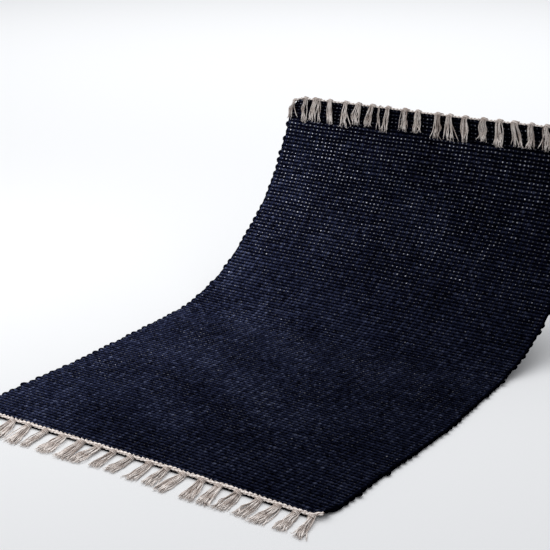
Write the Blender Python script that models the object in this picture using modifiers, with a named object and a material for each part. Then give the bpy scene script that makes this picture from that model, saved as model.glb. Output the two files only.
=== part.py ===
"""Woven cotton rug with a knotted fringe at both ends.

The rug lies on a floor with its front half flat. Its back half sweeps up in a
smooth curve and stands upright at the back end, where the tassels fall forward
over the face. Each piece is modelled flat, as it comes off the loom, and then
bent along the side view of the rug.

Axes: X across the rug, Y from the front end to the raised back end, Z up from
the floor. The origin is on the floor, under the middle of the whole rug.
"""

import bmesh
import bpy
from collections import namedtuple
from math import cos, pi, radians, sin, tan
from mathutils import Vector

# Sizes of the woven cloth.
RUG_WIDTH = 0.600
CLOTH_THICKNESS = 0.006
COLUMNS_ACROSS = 14
PIECE_GAP = 0.0003

# The side view from the front end to the back end: a straight run or an arc
# for each row. The runs add up to the cloth's length of one metre. The flat
# stretch reaches just past the rug's centre of mass, so that it rests steadily.
Section = namedtuple("Section", "name run bend_degrees steps")
SECTIONS = (
    Section("front hem", 0.0400, 0.0, 3),
    Section("floor", 0.4475, 0.0, 8),
    Section("turn", 0.0150, 9.5, 2),
    Section("lift", 0.0475, 6.0, 3),
    Section("bend", 0.0575, 12.0, 4),
    Section("rise", 0.1125, 10.0, 5),
    Section("upper", 0.1125, 12.0, 5),
    Section("top", 0.1125, 21.5, 6),
    Section("end", 0.0550, 30.0, 6),
)
RUG_LENGTH = sum(section.run for section in SECTIONS)
FLAT_LENGTH = sum(section.run for section in SECTIONS if section.bend_degrees == 0.0)

# The unevenness of the cloth: a twist and a ripple of the raised part, a bowed
# front end, wavy selvedges and ends that are drawn in by their headings.
BACK_TWIST = 0.009
RIPPLE_HEIGHT = 0.0015
RIPPLES_ACROSS = 1.5
FRONT_BOW = 0.005
SELVEDGE_WAVE = 0.0015
SELVEDGE_WAVES = 3.5
END_DRAW_IN = 0.007
DRAW_IN_RUN = 0.040

# Slow bulges of the selvedges: the side, -1 for left and 1 for right, the length
# along the rug at the middle of the bulge, its reach each way and its depth there.
Bulge = namedtuple("Bulge", "side along reach out")
BULGES = (
    Bulge(-1, 0.22, 0.17, -0.0030),
    Bulge(-1, 0.52, 0.14, 0.0065),
    Bulge(-1, 0.87, 0.08, 0.0030),
    Bulge(1, 0.29, 0.24, 0.0070),
    Bulge(1, 0.66, 0.12, 0.0040),
)

# The headings and their tassels.
HEADING_DEPTH = 0.009
HEADING_HEIGHT = 0.006
TASSEL_ROOT_WIDTH = 0.0080
KNOT_LEAN_START = 0.004

# One ring of a tassel. For the front fringe "reach" runs away from the rug and
# "height" up from the floor. For the back fringe "reach" runs back over the
# face of the rug and "height" away from that face. The turn is the tassel's
# direction: 90 leaves the rug's face squarely, 180 points to the front end.
Ring = namedtuple("Ring", "reach height turn_degrees width thickness")
FRONT_RINGS = (
    Ring(0.0020, 0.0030, 180.0, 0.0075, 0.0060),
    Ring(0.0060, 0.0034, 180.0, 0.0100, 0.0068),
    Ring(0.0095, 0.0025, 180.0, 0.0075, 0.0050),
    Ring(0.0240, 0.0024, 180.0, 0.0115, 0.0048),
    Ring(0.0390, 0.0016, 180.0, 0.0150, 0.0032),
)
BACK_RINGS = (
    Ring(0.0000, 0.0025, 90.0, 0.0080, 0.0065),
    Ring(0.0040, 0.0060, 135.0, 0.0100, 0.0068),
    Ring(0.0100, 0.0062, 180.0, 0.0075, 0.0050),
    Ring(0.0300, 0.0056, 180.0, 0.0115, 0.0048),
    Ring(0.0480, 0.0048, 180.0, 0.0150, 0.0032),
)

# The tassels of each fringe from left to right: the distance from the left
# selvedge in millimetres, and the lean to the right of the rug's length.
Tassel = namedtuple("Tassel", "place_mm lean_degrees")
FRONT_TASSELS = (
    Tassel(14, 12), Tassel(43, 14), Tassel(74, 15), Tassel(104, 16), Tassel(137, 6),
    Tassel(170, 6), Tassel(204, 6), Tassel(234, -3), Tassel(262, 2), Tassel(293, -2),
    Tassel(325, 5), Tassel(354, 6), Tassel(383, -1), Tassel(414, 13), Tassel(442, 9),
    Tassel(473, 3), Tassel(507, 0), Tassel(536, -3), Tassel(565, 3), Tassel(588, 11),
)
BACK_TASSELS = (
    Tassel(8, 5), Tassel(26, 11), Tassel(49, 5), Tassel(79, 13), Tassel(113, 5),
    Tassel(141, 2), Tassel(170, -2), Tassel(203, -1), Tassel(239, 1), Tassel(265, 1),
    Tassel(306, -2), Tassel(330, -3), Tassel(360, -2), Tassel(395, -6), Tassel(425, -4),
    Tassel(454, 2), Tassel(485, -7), Tassel(513, -8), Tassel(545, -3), Tassel(577, -3),
)

# Colours as base colour and roughness.
NAVY = (0.010, 0.014, 0.038, 1.0)
NATURAL_COTTON = (0.50, 0.43, 0.36, 1.0)
YARN_ROUGHNESS = 0.92


def clear_scene():
    """Remove every object that the file starts with."""
    for old_object in list(bpy.data.objects):
        bpy.data.objects.remove(old_object, do_unlink=True)


def make_collection(name):
    """Add a collection to the scene and return it."""
    collection = bpy.data.collections.new(name)
    bpy.context.scene.collection.children.link(collection)
    return collection


def make_yarn_material(name, colour):
    """Return a matt material for dyed or natural cotton."""
    material = bpy.data.materials.new(name)
    material.use_nodes = True
    shader = material.node_tree.nodes["Principled BSDF"]
    shader.inputs["Base Color"].default_value = colour
    shader.inputs["Roughness"].default_value = YARN_ROUGHNESS
    shader.inputs["Metallic"].default_value = 0.0
    return material


def navy_cotton():
    """Return the material of the woven field."""
    return make_yarn_material("navy_cotton", NAVY)


def natural_cotton():
    """Return the material of the headings and tassels."""
    return make_yarn_material("natural_cotton", NATURAL_COTTON)


def smooth_step(value):
    """Return 0 to 1 for a value of 0 to 1, level at both ends."""
    value = min(max(value, 0.0), 1.0)
    return value * value * (3.0 - 2.0 * value)


def path_point(along):
    """Return Y, Z and slope of the cloth's underside at a length along it."""
    y = min(along, 0.0)
    z = 0.0
    slope = 0.0
    left = max(along, 0.0)
    for section in SECTIONS:
        run = min(left, section.run)
        bend = radians(section.bend_degrees) * run / section.run
        chord = run
        if bend > 0.0:
            chord = 2.0 * run / bend * sin(bend / 2.0)
        y += chord * cos(slope + bend / 2.0)
        z += chord * sin(slope + bend / 2.0)
        slope += bend
        left -= run
    y += left * cos(slope)
    z += left * sin(slope)
    return y, z, slope


def unevenness(x, along):
    """Return how far the raised cloth lies off its even curve."""
    across = 2.0 * x / RUG_WIDTH
    rise = smooth_step((along - FLAT_LENGTH) / (RUG_LENGTH - FLAT_LENGTH))
    ripple = RIPPLE_HEIGHT * sin(pi * RIPPLES_ACROSS * across + 1.0)
    return rise * (ripple - BACK_TWIST * across)


def front_bow(x, along):
    """Return how far the middle of the front end is drawn back."""
    across = 2.0 * x / RUG_WIDTH
    fade = 1.0 - smooth_step(along / FLAT_LENGTH)
    return FRONT_BOW * (1.0 - across * across) * fade


def bulge(side, along):
    """Return how far the selvedge on one side stands out at a length along it."""
    out = 0.0
    for row in BULGES:
        if row.side == side:
            away = min(abs(along - row.along) / row.reach, 1.0)
            out += row.out * (1.0 - away * away) ** 2
    return out


def drawn_in_width(x, along):
    """Return X after the ends' draw-in and the selvedges' waves and bulges."""
    to_end = min(along, RUG_LENGTH - along)
    draw_in = END_DRAW_IN * (1.0 - smooth_step(to_end / DRAW_IN_RUN))
    side = 1.0 if x > 0.0 else -1.0
    wave = SELVEDGE_WAVE * sin(2.0 * pi * SELVEDGE_WAVES * along / RUG_LENGTH + side)
    return x * (1.0 + (wave + 2.0 * bulge(side, along) - 2.0 * draw_in) / RUG_WIDTH)


def drape(flat):
    """Place a point given flat, as X, length along and height, on the rug."""
    x = drawn_in_width(flat.x, flat.y)
    y, z, slope = path_point(flat.y + front_bow(flat.x, flat.y))
    height = flat.z + unevenness(flat.x, flat.y)
    return Vector((x, y - height * sin(slope), z + height * cos(slope)))


def drape_mesh(mesh):
    """Bend a flat mesh to the shape in which the rug lies."""
    for vertex in mesh.vertices:
        vertex.co = drape(vertex.co)


def rows_along():
    """Return the lengths along the cloth at which it is divided."""
    rows = [0.0]
    for section in SECTIONS:
        start = rows[-1]
        rows += [start + section.run * (step + 1) / section.steps for step in range(section.steps)]
    return rows


def make_field(collection):
    """Weave the navy field: one cloth, divided into rows and columns."""
    rows = rows_along()
    bpy.ops.mesh.primitive_grid_add(
        x_subdivisions=COLUMNS_ACROSS, y_subdivisions=len(rows) - 1, size=1.0
    )
    field = bpy.context.object
    field.name = "woven_field"
    for vertex in field.data.vertices:
        row = round((vertex.co.y + 0.5) * (len(rows) - 1))
        vertex.co = (vertex.co.x * RUG_WIDTH, rows[row], 0.0)
    thicken = field.modifiers.new("Cloth thickness", "SOLIDIFY")
    thicken.thickness = CLOTH_THICKNESS
    thicken.offset = 1.0
    bpy.ops.object.modifier_apply(modifier=thicken.name)
    drape_mesh(field.data)
    finish_piece(field, collection, navy_cotton())
    return field


def tassel_place(tassel):
    """Return the X of a tassel where it leaves its heading."""
    return tassel.place_mm / 1000.0 - RUG_WIDTH / 2.0


def make_heading(mesh_data, near_edge, tassels):
    """Add a heading bar across the rug, divided where its tassels start."""
    bmesh.ops.create_cube(mesh_data, size=1.0)
    for vertex in mesh_data.verts:
        vertex.co.x *= RUG_WIDTH
        vertex.co.y = near_edge + (vertex.co.y + 0.5) * HEADING_DEPTH
        vertex.co.z = (vertex.co.z + 0.5) * HEADING_HEIGHT
    for tassel in tassels:
        x = tassel_place(tassel)
        for side in (-0.5, 0.5):
            bmesh.ops.bisect_plane(
                mesh_data,
                geom=mesh_data.verts[:] + mesh_data.edges[:] + mesh_data.faces[:],
                plane_co=(x + side * TASSEL_ROOT_WIDTH, 0.0, 0.0),
                plane_no=(1.0, 0.0, 0.0),
            )


def find_root_face(mesh_data, x, normal):
    """Return the heading's face that the tassel at this X grows from."""
    for face in mesh_data.faces:
        faces_out = face.normal.dot(normal) > 0.9
        if faces_out and abs(face.calc_center_median().x - x) < TASSEL_ROOT_WIDTH / 4.0:
            return face
    raise ValueError("no root face at X %.4f" % x)


def grow_tassel(mesh_data, root, x, lean_degrees, base, rings):
    """Extrude one tassel from its root face through its rings."""
    lean = tan(radians(lean_degrees))
    centre = root.calc_center_median()
    upright = abs(root.normal.z) > 0.9
    signs = {}
    for vertex in root.verts:
        outer = vertex.co.y > centre.y if upright else vertex.co.z > centre.z
        signs[vertex.index] = (1.0 if vertex.co.x > x else -1.0, 1.0 if outer else -1.0)
    corner_signs = [signs[vertex.index] for vertex in root.verts]
    face = root
    for ring in rings:
        face = bmesh.ops.extrude_discrete_faces(mesh_data, faces=[face])["faces"][0]
        turn = radians(ring.turn_degrees)
        sideways = max(ring.reach - KNOT_LEAN_START, 0.0) * lean
        for vertex, (across, outwards) in zip(face.verts, corner_signs):
            off_axis = outwards * ring.thickness / 2.0
            vertex.co = (
                x + sideways + across * ring.width / 2.0,
                base.y - ring.reach + off_axis * sin(turn),
                base.z + ring.height - off_axis * cos(turn),
            )


def make_fringe(name, collection, near_edge, root_normal, base, rings, tassels):
    """Make one comb: a heading bar with its row of tassels, all one body."""
    mesh_data = bmesh.new()
    make_heading(mesh_data, near_edge, tassels)
    mesh_data.verts.index_update()
    mesh_data.normal_update()
    roots = [find_root_face(mesh_data, tassel_place(tassel), root_normal) for tassel in tassels]
    for tassel, root in zip(tassels, roots):
        grow_tassel(mesh_data, root, tassel_place(tassel), tassel.lean_degrees, base, rings)
    bmesh.ops.recalc_face_normals(mesh_data, faces=mesh_data.faces[:])
    mesh = bpy.data.meshes.new(name)
    mesh_data.to_mesh(mesh)
    mesh_data.free()
    drape_mesh(mesh)
    fringe = bpy.data.objects.new(name, mesh)
    finish_piece(fringe, collection, natural_cotton())
    return fringe


def make_front_fringe(collection):
    """Make the fringe whose tassels lie on the floor before the rug."""
    near_edge = -PIECE_GAP - HEADING_DEPTH
    return make_fringe(
        "front_fringe", collection, near_edge, Vector((0.0, -1.0, 0.0)),
        Vector((0.0, near_edge, 0.0)), FRONT_RINGS, FRONT_TASSELS,
    )


def make_back_fringe(collection):
    """Make the fringe whose tassels fall forward over the raised face."""
    near_edge = RUG_LENGTH + PIECE_GAP
    base = Vector((0.0, near_edge + HEADING_DEPTH / 2.0, HEADING_HEIGHT))
    return make_fringe(
        "back_fringe", collection, near_edge, Vector((0.0, 0.0, 1.0)),
        base, BACK_RINGS, BACK_TASSELS,
    )


def finish_piece(piece, collection, material):
    """Give a piece its material, soft shading and place in the collection."""
    for old_collection in list(piece.users_collection):
        old_collection.objects.unlink(piece)
    collection.objects.link(piece)
    piece.data.materials.clear()
    piece.data.materials.append(material)
    piece.data.shade_smooth()
    piece.data.set_sharp_from_angle(angle=radians(40.0))


def centre_on_origin(pieces):
    """Slide the pieces level until the whole rug's box is centred on the origin."""
    points = [vertex.co for piece in pieces for vertex in piece.data.vertices]
    for axis in (0, 1):
        low = min(point[axis] for point in points)
        high = max(point[axis] for point in points)
        for point in points:
            point[axis] -= (low + high) / 2.0


def main():
    """Build the rug: the woven field and the fringe at each end."""
    clear_scene()
    collection = make_collection("cotton_rug")
    pieces = [
        make_field(collection),
        make_front_fringe(collection),
        make_back_fringe(collection),
    ]
    centre_on_origin(pieces)


if __name__ == "__main__":
    main()
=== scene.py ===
"""Looks of a woven cotton rug: navy weft over natural warp, knotted fringes at both ends.

Every piece is worked flat, as on the loom, and then draped to the shape in which the
rug lies. A flat place is X across the rug, the length along it from its front end, and
the height above its underside, all in metres.
"""

from collections import namedtuple
from math import cos, pi, radians, sin, tan

import bpy
import numpy as np
from bpy.props import FloatProperty, FloatVectorProperty, IntProperty, PointerProperty
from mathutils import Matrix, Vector


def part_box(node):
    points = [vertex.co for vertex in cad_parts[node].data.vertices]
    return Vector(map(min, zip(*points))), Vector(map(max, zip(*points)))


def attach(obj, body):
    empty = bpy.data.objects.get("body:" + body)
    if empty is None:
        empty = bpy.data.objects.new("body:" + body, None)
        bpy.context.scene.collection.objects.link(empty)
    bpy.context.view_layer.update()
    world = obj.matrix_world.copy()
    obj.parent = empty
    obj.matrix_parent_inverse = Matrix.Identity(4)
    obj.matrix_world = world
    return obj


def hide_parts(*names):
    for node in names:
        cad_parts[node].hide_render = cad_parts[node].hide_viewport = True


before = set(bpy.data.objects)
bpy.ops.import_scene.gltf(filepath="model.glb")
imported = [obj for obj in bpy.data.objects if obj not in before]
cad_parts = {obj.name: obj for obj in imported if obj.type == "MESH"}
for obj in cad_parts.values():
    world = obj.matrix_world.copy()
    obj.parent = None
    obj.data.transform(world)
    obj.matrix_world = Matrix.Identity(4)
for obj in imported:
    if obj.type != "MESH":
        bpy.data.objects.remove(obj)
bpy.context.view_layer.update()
FIELD_LOW, FIELD_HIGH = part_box("woven_field")

bl_info = {
    "name": "Cotton rug",
    "version": (1, 0, 0),
    "blender": (4, 5, 0),
    "location": "3D View > Sidebar > Cotton rug",
    "description": "Weaves a navy cotton rug with knotted fringes and sets it in a pale studio",
    "category": "Add Mesh",
}

# The side view from the front end to the back end: a straight run or an arc a row.
Section = namedtuple("Section", "name run bend_degrees")
SECTIONS = (
    Section("front hem", 0.0400, 0.0),
    Section("floor", 0.4475, 0.0),
    Section("turn", 0.0150, 9.5),
    Section("lift", 0.0475, 6.0),
    Section("bend", 0.0575, 12.0),
    Section("rise", 0.1125, 10.0),
    Section("upper", 0.1125, 12.0),
    Section("top", 0.1125, 21.5),
    Section("end", 0.0550, 30.0),
)
SECTION_STEPS = 40
RUG_WIDTH = 0.600
RUG_LENGTH = sum(section.run for section in SECTIONS)
FLAT_LENGTH = sum(section.run for section in SECTIONS if section.bend_degrees == 0.0)

# Where the painted light and shade of the weft and of the dots start to change on the cloth's way up, and
# where they have changed.
RAISED_START = 0.8 * FLAT_LENGTH
RAISED_END = 0.95 * RUG_LENGTH

# The unevenness of the cloth, as in its solid.
BACK_TWIST = 0.009
RIPPLE_HEIGHT = 0.0015
RIPPLES_ACROSS = 1.5
FRONT_BOW = 0.005
SELVEDGE_WAVE = 0.0015
SELVEDGE_WAVES = 3.5
END_DRAW_IN = 0.007
DRAW_IN_RUN = 0.040

# Slow bulges of the selvedges: the side, -1 for left and 1 for right, the length
# along the rug at the middle of the bulge, its reach each way and its depth there.
Bulge = namedtuple("Bulge", "side along reach out")
BULGES = (
    Bulge(-1, 0.22, 0.17, -0.0030),
    Bulge(-1, 0.52, 0.14, 0.0065),
    Bulge(-1, 0.87, 0.08, 0.0030),
    Bulge(1, 0.29, 0.24, 0.0070),
    Bulge(1, 0.66, 0.12, 0.0040),
)

# The corners are drawn in and the front ones lift off the floor. The band of cloth that
# the back tassels fall over is a little narrower.
CORNER_SIZE = 0.018
CORNER_RUN = 0.030
FRONT_CORNER_PULL = 0.006
FRONT_CORNER_LIFT = 0.0035
BACK_CORNER_PULL = 0.007
BACK_CORNER_INSET = 0.004
END_BAND = 0.046
END_BAND_INSET = 0.002
END_BAND_STEP = 0.006

# One tassel: its place across the rug from the left selvedge, how far it leans to the
# right, how wide it is at its knot and at its tip, how long it is from its knot, how many
# strands it has and how far one stray strand ends from its middle (0 for none).
Tassel = namedtuple("Tassel", "across_mm lean_degrees head_mm tip_mm length_mm strands stray_mm")
FRONT_TASSELS = (
    Tassel(14, 12, 9, 20, 46, 18, 0), Tassel(43, 14, 9, 21, 48, 18, 0),
    Tassel(74, 15, 9, 21, 50, 18, 0), Tassel(104, 16, 9, 22, 50, 19, 0),
    Tassel(137, 6, 10, 18, 47, 18, 0), Tassel(170, 6, 10, 24, 48, 20, 0),
    Tassel(204, 6, 10, 24, 49, 19, -15), Tassel(234, -3, 10, 18, 47, 18, 0),
    Tassel(262, 2, 9, 18, 42, 18, 0), Tassel(293, -2, 10, 20, 41, 18, 0),
    Tassel(325, 5, 10, 16, 44, 17, -13), Tassel(354, 6, 9, 20, 43, 18, 0),
    Tassel(383, -1, 10, 21, 48, 19, 0), Tassel(414, 13, 10, 22, 47, 20, 0),
    Tassel(442, 9, 10, 21, 46, 19, 0), Tassel(473, 3, 10, 23, 44, 19, 0),
    Tassel(507, 0, 10, 23, 44, 19, 0), Tassel(536, -3, 10, 21, 46, 19, 14),
    Tassel(565, 3, 9, 20, 43, 18, 0), Tassel(588, 11, 9, 18, 45, 18, 15),
)
BACK_TASSELS = (
    Tassel(2, 2, 6, 9, 52, 7, 20), Tassel(26, 11, 8, 12, 55, 8, 0),
    Tassel(48, 5, 11, 15, 51, 10, 0), Tassel(58, 12, 4, 5, 51, 3, 0),
    Tassel(79, 13, 9, 12, 51, 9, 0), Tassel(113, 5, 9, 16, 54, 10, 18),
    Tassel(141, 2, 9, 15, 45, 9, 0), Tassel(170, -2, 10, 15, 45, 10, 0),
    Tassel(184, 7, 4, 4, 47, 3, 0), Tassel(203, -1, 9, 11, 52, 8, 0),
    Tassel(239, 1, 12, 17, 44, 11, 0), Tassel(265, 1, 10, 18, 44, 11, 0),
    Tassel(306, -2, 11, 16, 50, 10, 0), Tassel(330, -3, 9, 19, 49, 11, 20),
    Tassel(360, -2, 10, 14, 48, 9, 0), Tassel(395, -6, 11, 18, 43, 11, 0),
    Tassel(425, -4, 11, 18, 49, 11, 0), Tassel(454, 2, 14, 20, 45, 12, 0),
    Tassel(485, -7, 8, 15, 44, 9, 0), Tassel(513, -8, 9, 17, 45, 10, -15),
    Tassel(545, -3, 9, 16, 46, 10, 0), Tassel(577, -3, 9, 16, 46, 10, 0),
)


class RugSettings(bpy.types.PropertyGroup):
    """Sizes of the yarns and how they are woven."""

    pick_count: IntProperty(
        name="Picks", description="Rows of weft from end to end", default=140, min=2
    )
    warp_spacing: FloatProperty(
        name="Warp spacing", description="Distance from one warp thread to the next",
        default=0.0078, unit="LENGTH",
    )
    cloth_middle: FloatProperty(
        name="Cloth middle", description="Height of the middle of the cloth's thickness",
        default=0.00305, unit="LENGTH",
    )
    weft_half_height: FloatProperty(
        name="Weft half height", description="Half the thickness of one pick",
        default=0.00272, unit="LENGTH",
    )
    weft_half_width: FloatProperty(
        name="Weft half width", description="Half the width of one pick as it lies beaten in",
        default=0.00370, unit="LENGTH",
    )
    warp_bead: FloatVectorProperty(
        name="Warp bead", description="Half sizes of the warp that shows where it crosses a pick",
        default=(0.00215, 0.00145, 0.00088), unit="LENGTH",
    )
    strand_radius: FloatProperty(
        name="Strand radius", description="Radius of one strand of a tassel",
        default=0.00093, unit="LENGTH",
    )


class RugColours(bpy.types.PropertyGroup):
    """Colours of the yarns."""

    # Painted shade: the near-black navy that the weft is given down between the picks and where it is
    # pinched.
    navy_in_painted_shade: FloatVectorProperty(
        name="Deep navy", description="Dyed weft down between the picks",
        default=(0.0004, 0.0004, 0.0010), subtype="COLOR", min=0.0, max=1.0,
    )
    navy: FloatVectorProperty(
        name="Navy", description="Dyed weft on its rounded tops",
        default=(0.0050, 0.0062, 0.0140), subtype="COLOR", min=0.0, max=1.0,
    )
    # Partly wear and partly painted highlight: the pale navy that the weft is given on the tops of the
    # picks.
    worn_and_highlit_navy: FloatVectorProperty(
        name="Worn navy", description="Dyed weft where it is rubbed pale",
        default=(0.0265, 0.0305, 0.0490), subtype="COLOR", min=0.0, max=1.0,
    )
    natural: FloatVectorProperty(
        name="Natural cotton", description="Undyed yarn of the fringes",
        default=(0.95, 0.88, 0.83), subtype="COLOR", min=0.0, max=1.0,
    )
    natural_shade: FloatVectorProperty(
        name="Natural cotton shade", description="Undyed yarn between its plies",
        default=(0.19, 0.125, 0.095), subtype="COLOR", min=0.0, max=1.0,
    )
    warp: FloatVectorProperty(
        name="Warp", description="Warp threads that show where they cross the picks",
        default=(0.50, 0.51, 0.57), subtype="COLOR", min=0.0, max=1.0,
    )


class StudioSettings(bpy.types.PropertyGroup):
    """Camera, floor and lights."""

    camera_place: FloatVectorProperty(
        name="Camera place", description="Where the camera stands",
        default=(1.0869, -1.6892, 0.8314), subtype="TRANSLATION", unit="LENGTH",
    )
    camera_azimuth: FloatProperty(
        name="Camera azimuth", description="Turn of the view to the left of the Y axis",
        default=radians(33.85), subtype="ANGLE",
    )
    camera_elevation: FloatProperty(
        name="Camera elevation", description="Tilt of the view below level",
        default=radians(18.76), subtype="ANGLE",
    )
    focal_length: FloatProperty(
        name="Focal length", description="Lens on a sensor 36 mm wide, in millimetres",
        default=90.88, min=1.0,
    )
    floor_size: FloatProperty(
        name="Floor size", description="Length of each side of the floor",
        default=60.0, unit="LENGTH",
    )


def smooth_step(value):
    """Return 0 to 1 for a value of 0 to 1, level at both ends."""
    value = np.clip(value, 0.0, 1.0)
    return value * value * (3.0 - 2.0 * value)


def side_view():
    """Return lengths along the cloth with the Y, Z and slope of its underside there."""
    rows = [(0.0, 0.0, 0.0, 0.0)]
    for section in SECTIONS:
        step = section.run / SECTION_STEPS
        bend = radians(section.bend_degrees) / SECTION_STEPS
        for _ in range(SECTION_STEPS):
            along, y, z, slope = rows[-1]
            middle = slope + bend / 2.0
            rows.append((along + step, y + step * cos(middle), z + step * sin(middle), slope + bend))
    return np.array(rows).T


SIDE_ALONG, SIDE_Y, SIDE_Z, SIDE_SLOPE = side_view()


def raised_share(along):
    """Return 0 where the cloth lies flat on the floor and 1 where it stands up."""
    return smooth_step((along - RAISED_START) / (RAISED_END - RAISED_START))


def unevenness(x, along):
    """Return how far the raised cloth lies off its even curve."""
    across = 2.0 * x / RUG_WIDTH
    rise = smooth_step((along - FLAT_LENGTH) / (RUG_LENGTH - FLAT_LENGTH))
    ripple = RIPPLE_HEIGHT * np.sin(pi * RIPPLES_ACROSS * across + 1.0)
    return rise * (ripple - BACK_TWIST * across)


def front_bow(x, along):
    """Return how far the middle of the front end is drawn back."""
    across = 2.0 * x / RUG_WIDTH
    fade = 1.0 - smooth_step(along / FLAT_LENGTH)
    return FRONT_BOW * (1.0 - across * across) * fade


def bulge(side, along):
    """Return how far the selvedges stand out at lengths along the cloth."""
    out = np.zeros_like(along)
    for row in BULGES:
        away = np.minimum(np.abs(along - row.along) / row.reach, 1.0)
        out = out + np.where(side == row.side, row.out, 0.0) * (1.0 - away * away) ** 2
    return out


def drawn_in_width(x, along):
    """Return X after the ends' draw-in and the selvedges' waves and bulges."""
    to_end = np.minimum(along, RUG_LENGTH - along)
    to_back = RUG_LENGTH - along
    draw_in = END_DRAW_IN * (1.0 - smooth_step(to_end / DRAW_IN_RUN))
    draw_in = draw_in + BACK_CORNER_INSET * (1.0 - smooth_step(to_back / CORNER_SIZE))
    draw_in = draw_in + END_BAND_INSET * smooth_step((END_BAND - to_back) / END_BAND_STEP)
    side = np.where(x > 0.0, 1.0, -1.0)
    wave = SELVEDGE_WAVE * np.sin(2.0 * pi * SELVEDGE_WAVES * along / RUG_LENGTH + side)
    return x * (1.0 + (wave + 2.0 * bulge(side, along) - 2.0 * draw_in) / RUG_WIDTH)


# The solid is centred by its bulges, so the cloth shifts sideways to lie as it does.
RIGHT_SELVEDGE = drawn_in_width(np.full(SIDE_ALONG.shape, RUG_WIDTH / 2.0), SIDE_ALONG)
SIDE_SHIFT = FIELD_HIGH[0] - RIGHT_SELVEDGE.max()


def corner_share(x, to_end):
    """Return 1 at the very corner of an end of the cloth, fading to 0 round it."""
    share = smooth_step((np.abs(x) - (RUG_WIDTH / 2.0 - CORNER_SIZE)) / CORNER_SIZE)
    return share * (1.0 - smooth_step(np.abs(to_end) / CORNER_RUN))


def drape(flat):
    """Place flat points, an array with a row for each, on the rug as it lies."""
    x, along, height = flat.T
    front_corner = corner_share(x, along)
    back_corner = corner_share(x, RUG_LENGTH - along)
    bowed = along + front_bow(x, along)
    bowed = bowed + FRONT_CORNER_PULL * front_corner - BACK_CORNER_PULL * back_corner
    held = np.clip(bowed, 0.0, RUG_LENGTH)
    slope = np.interp(held, SIDE_ALONG, SIDE_SLOPE)
    y = np.interp(held, SIDE_ALONG, SIDE_Y) + (bowed - held) * np.cos(slope)
    z = np.interp(held, SIDE_ALONG, SIDE_Z) + (bowed - held) * np.sin(slope)
    off = height + unevenness(x, along) + FRONT_CORNER_LIFT * front_corner
    return np.column_stack((
        drawn_in_width(x, along) + SIDE_SHIFT,
        y - off * np.sin(slope) + FIELD_LOW[1],
        z + off * np.cos(slope),
    ))


# The seeds of the single draws: for the picks, for the lightness of the dots and for their
# places and sizes.
PICK_SEED = 14
DOT_SEED = 21
BEAD_SEED = 24

# A smooth unevenness: its seed and its fastest rates across and along, in radians a metre.
WAVE_COUNT = 9
PICK_DRIFT_WAVES = (11, 60.0, 90.0)
PICK_SWELL_WAVES = (12, 110.0, 2000.0)
PICK_LIFT_WAVES = (13, 150.0, 1500.0)
PALE_PATCH_WAVES = (15, 45.0, 45.0)
PALE_STRETCH_WAVES = (16, 110.0, 2200.0)
LOOP_WAVES = (17, 0.0, 260.0)
END_PICK_WAVES = (18, 140.0, 0.0)
SELVEDGE_CORD_WAVES = (19, 0.0, 420.0)
DOT_PATCH_WAVES = (22, 70.0, 70.0)
DOT_STRETCH_WAVES = (23, 35.0, 2500.0)


def soft_waves(seed, x_rates, along_rates):
    """Return a smooth uneven function of X and length along, from about -1 to 1."""
    chance = np.random.default_rng(seed)
    x_turns = chance.uniform(-1.0, 1.0, WAVE_COUNT) * x_rates
    along_turns = chance.uniform(-1.0, 1.0, WAVE_COUNT) * along_rates
    starts = chance.uniform(0.0, 2.0 * pi, WAVE_COUNT)

    def wave(x, along):
        total = 0.0
        for x_turn, along_turn, start in zip(x_turns, along_turns, starts):
            total = total + np.sin(x_turn * x + along_turn * along + start)
        return total / WAVE_COUNT ** 0.5

    return wave


# The collections of the pieces, because a lamp may light one of them alone.
FIELD_COLLECTION = "rug_field"
WARP_COLLECTION = "rug_warp"
FRINGE_COLLECTION = "rug_fringes"
FLOOR_COLLECTION = "studio_ground"


class YarnMesh:
    """Gathers lengths of yarn, given as rings of flat points, into one mesh.

    The UV map has the metres along a yarn and the turns around it.
    """

    def __init__(self):
        self.points = []
        self.faces = []
        self.uvs = []
        self.shades = []
        self.count = 0

    def add(self, rings, shade=1.0):
        """Add one yarn: an array of rings, of points round each, and of X, along, height."""
        ring_count, sides, _ = rings.shape
        index = np.arange(ring_count * sides).reshape(ring_count, sides) + self.count
        near, far = index[:-1], index[1:]
        corners = (near, np.roll(near, -1, axis=1), np.roll(far, -1, axis=1), far)
        self.faces += np.stack(corners, axis=-1).reshape(-1, 4).tolist()
        self.faces += [index[0][::-1].tolist(), index[-1].tolist()]
        steps = np.linalg.norm(np.diff(rings.mean(axis=1), axis=0), axis=1)
        metres = np.concatenate(([0.0], np.cumsum(steps)))
        start = np.repeat(metres[:-1, None], sides, axis=1)
        end = np.repeat(metres[1:, None], sides, axis=1)
        turn = np.repeat(np.arange(sides)[None, :] / sides, ring_count - 1, axis=0)
        next_turn = turn + 1.0 / sides
        along_uv = np.stack((start, start, end, end), axis=-1)
        round_uv = np.stack((turn, next_turn, next_turn, turn), axis=-1)
        self.uvs.append(np.stack((along_uv, round_uv), axis=-1).reshape(-1, 2))
        self.uvs.append(np.tile((metres[0], 0.0), (sides, 1)))
        self.uvs.append(np.tile((metres[-1], 0.0), (sides, 1)))
        self.points.append(rings.reshape(-1, 3))
        self.shades.append(np.broadcast_to(shade, (ring_count, sides)).ravel())
        self.count += ring_count * sides

    def build(self, name, material, collection):
        """Drape the yarns and return them as one object."""
        mesh = bpy.data.meshes.new(name)
        mesh.from_pydata(drape(np.concatenate(self.points)).tolist(), [], self.faces)
        uv_map = mesh.uv_layers.new(name="yarn")
        uv_map.data.foreach_set("uv", np.concatenate(self.uvs).ravel())
        shade = mesh.attributes.new("shade", "FLOAT", "POINT")
        shade.data.foreach_set("value", np.concatenate(self.shades))
        return place_piece(name, mesh, material, collection)


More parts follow.
